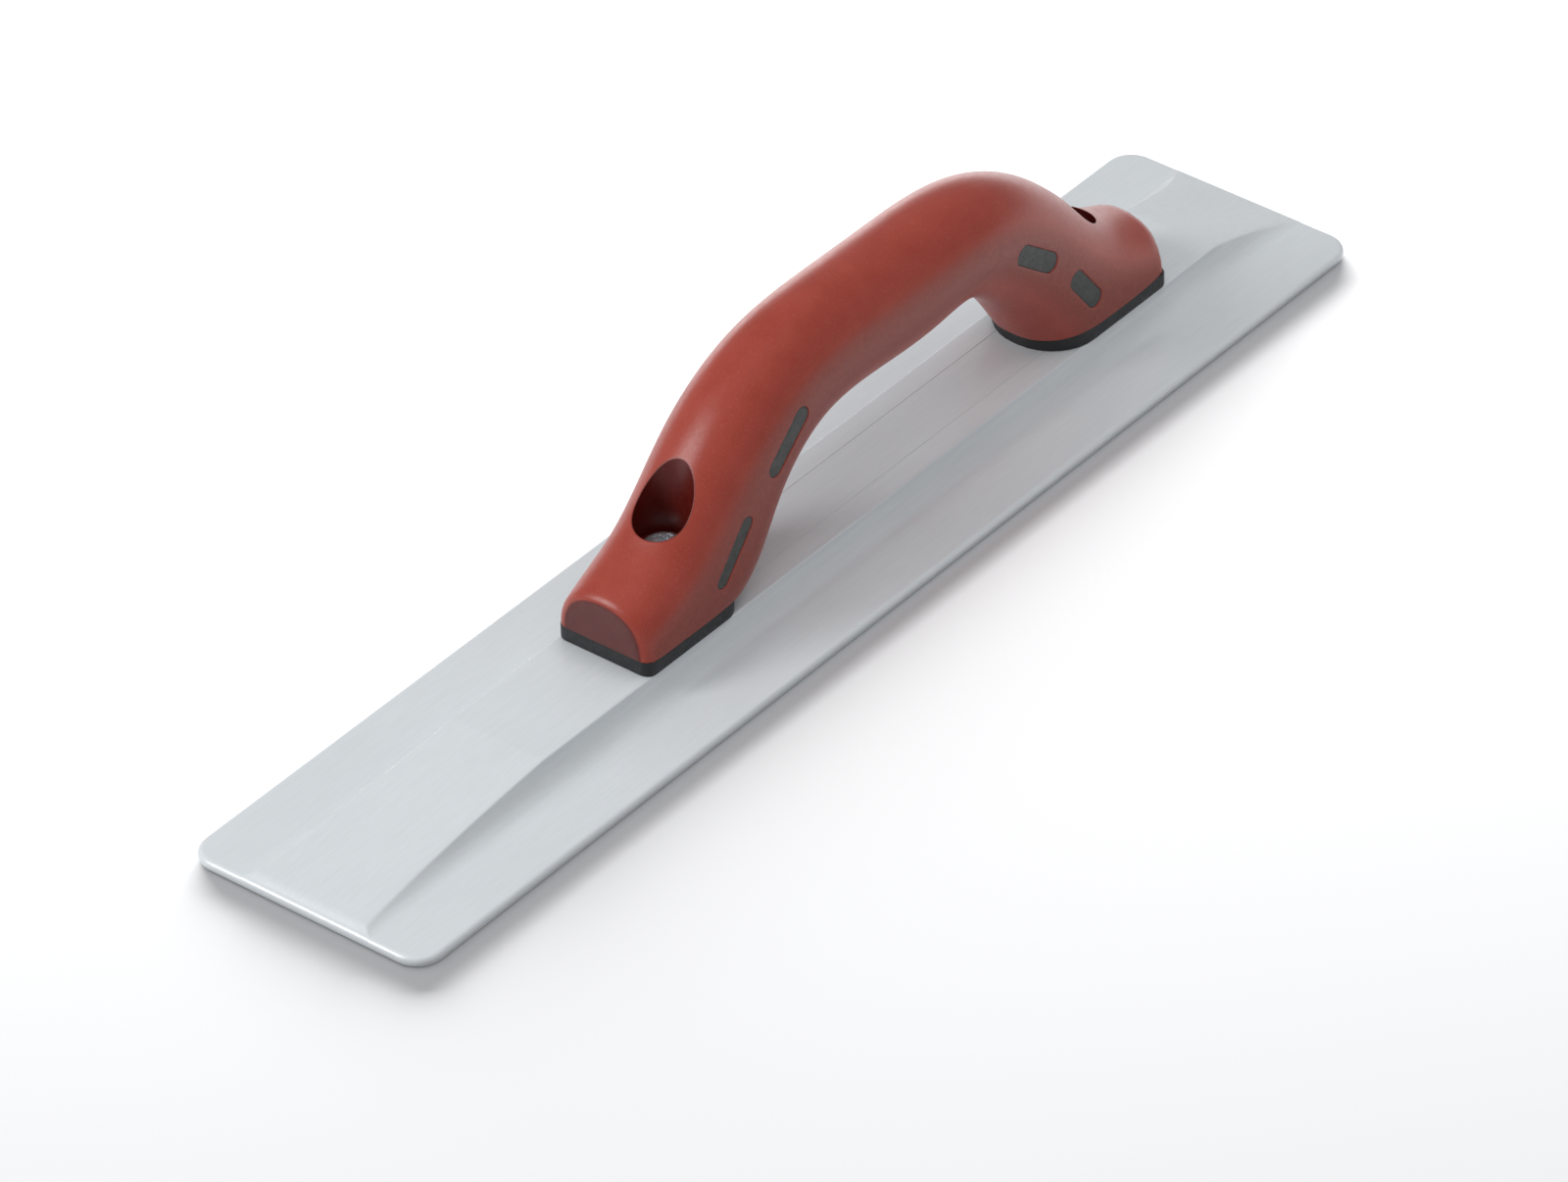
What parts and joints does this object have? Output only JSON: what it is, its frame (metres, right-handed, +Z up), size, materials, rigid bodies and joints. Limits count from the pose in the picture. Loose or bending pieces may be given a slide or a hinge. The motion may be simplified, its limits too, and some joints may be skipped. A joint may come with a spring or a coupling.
{
  "type": "hand float",
  "caption": "Long narrow magnesium float blade with a raised centre rail, carrying a soft-gripped bridge handle held by two recessed screws.",
  "frame": {"origin": "middle of the blade's flat underside", "axes": "+X along the blade towards the end with the short ramp, +Y across it, +Z up"},
  "size_m": [0.4064, 0.0794, 0.0789],
  "materials": {
    "magnesium": "smooth satin, as cast and lightly polished",
    "core_plastic": "matt moulded",
    "soft_grip": "satin, fine moulded texture",
    "screw_steel": "bright zinc plate",
    "washer_steel": "zinc plate"
  },
  "bodies": {
    "root": {"blade": "magnesium", "handle_core": "core_plastic", "soft_grip": "soft_grip", "front_screw": "screw_steel", "rear_screw": "screw_steel", "front_lock_washer": "washer_steel", "rear_lock_washer": "washer_steel"}
  },
  "joints": []
}
